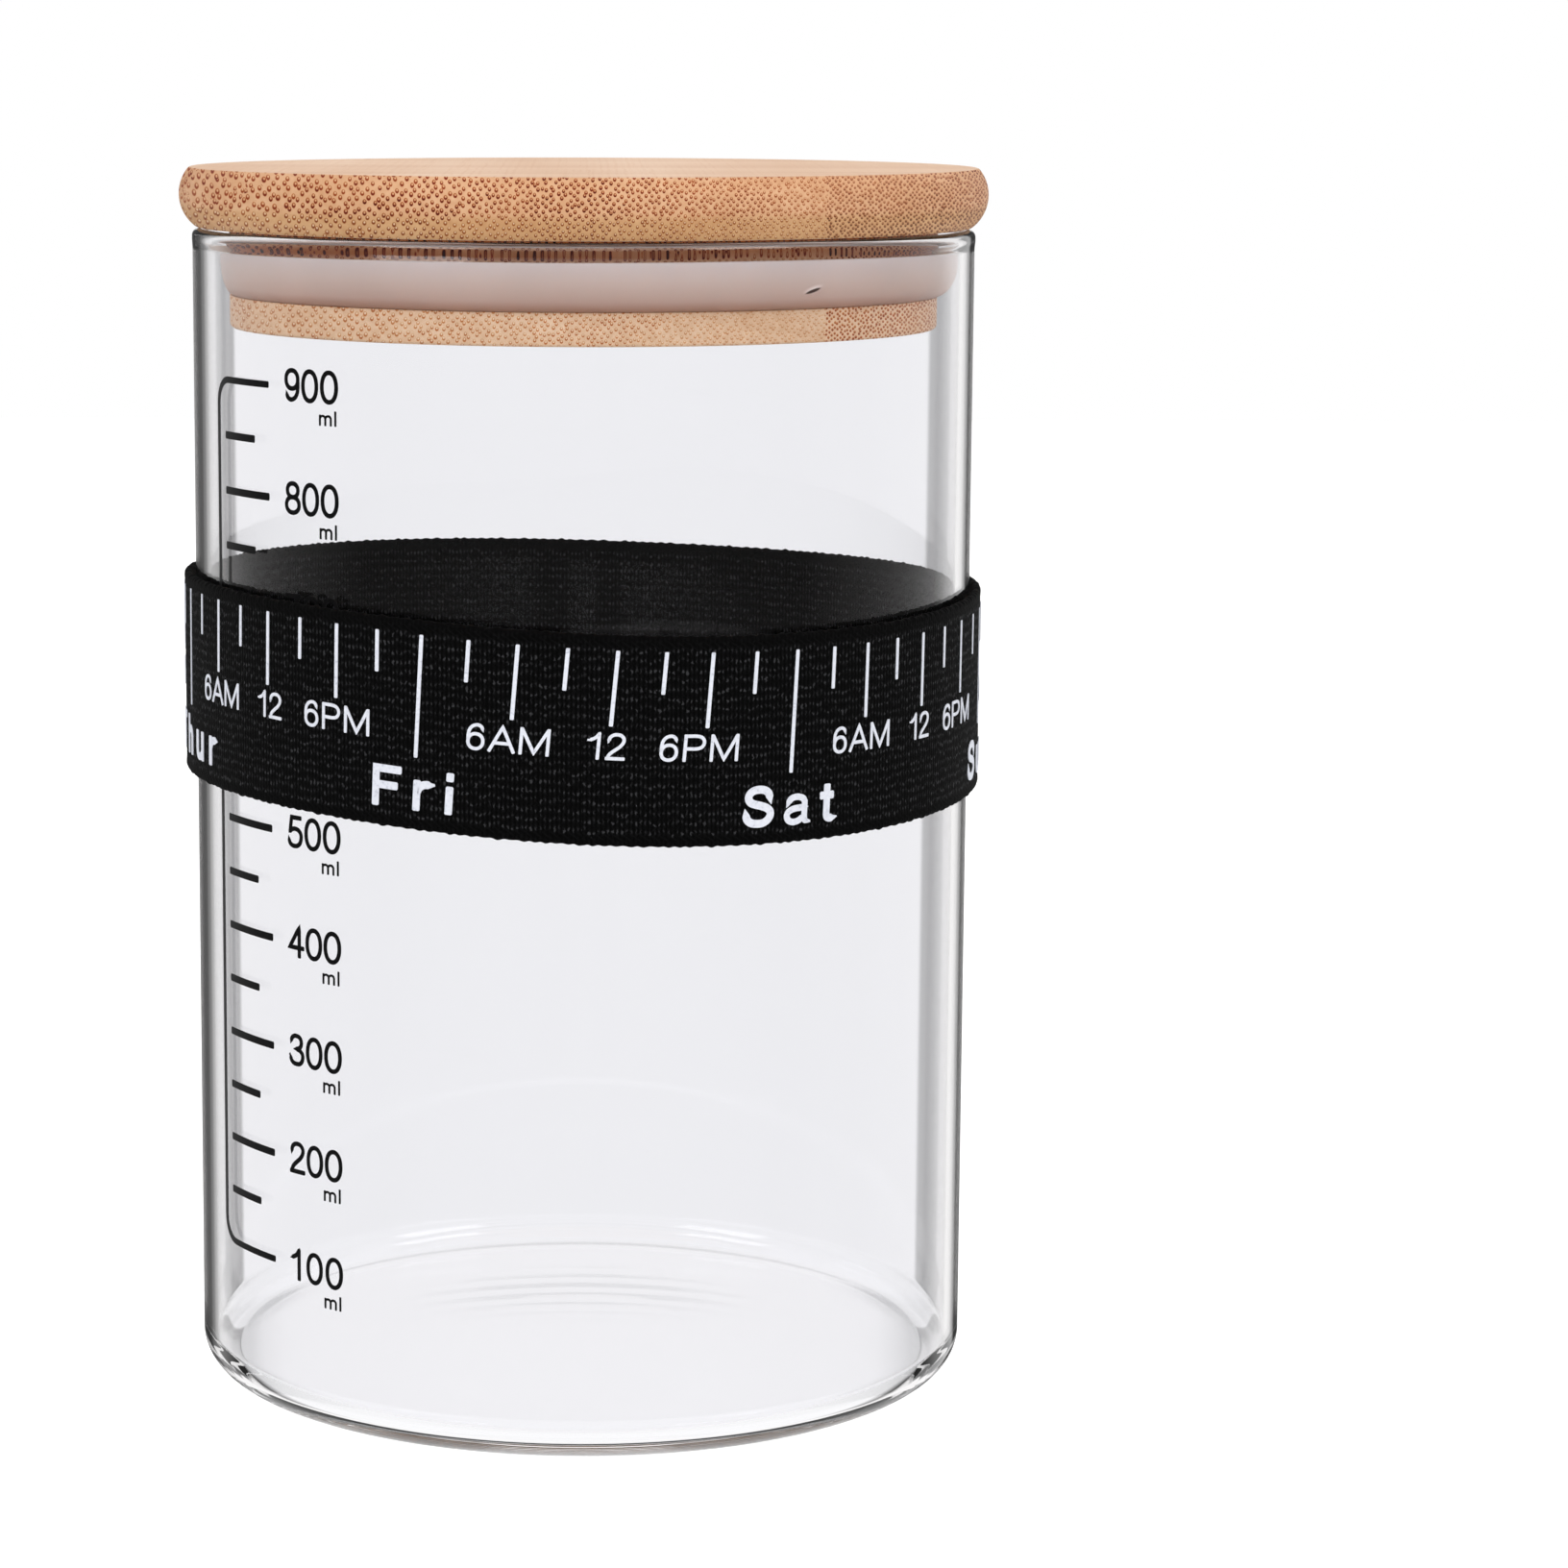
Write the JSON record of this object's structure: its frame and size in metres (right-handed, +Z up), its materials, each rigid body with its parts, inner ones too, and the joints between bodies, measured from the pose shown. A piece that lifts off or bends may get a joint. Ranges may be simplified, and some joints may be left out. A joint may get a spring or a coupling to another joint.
{
  "type": "sourdough starter jar",
  "caption": "Straight glass jar with a millilitre scale, a bamboo lid on a silicone sealing ring, and an elastic band printed with the week that slides up and down the glass.",
  "frame": {"origin": "middle of the base, on the surface that the jar stands on", "axes": "+Z up along the jar's axis; -Y is the front, where the numbers read; +X to the right"},
  "size_m": [0.1036, 0.1036, 0.1561],
  "materials": {
    "borosilicate_glass": "clear, fire-polished rim",
    "black_enamel": "fired screen print, satin",
    "bamboo": "turned and sanded, oiled satin",
    "silicone": "translucent, frosted",
    "black_elastic": "woven elastic, rolled selvedges",
    "white_print": "heat-pressed print, matte",
    "black_thread": "twisted polyester thread"
  },
  "bodies": {
    "jar": {"glass_jar": "borosilicate_glass", "volume_scale": "black_enamel"},
    "lid": {"lid_cap": "bamboo", "lid_plug": "bamboo", "sealing_ring": "silicone"},
    "band": {"time_band": "black_elastic", "band_marks": "white_print", "band_stitching": "black_thread"}
  },
  "joints": [
    {"name": "lid_lift", "type": "slide", "parent": "jar", "child": "lid", "axis": [0, 0, 1], "range_m": [0, 0.06]},
    {"name": "band_slide", "type": "slide", "parent": "jar", "child": "band", "axis": [0, 0, 1], "range_m": [-0.072, 0.044]}
  ]
}
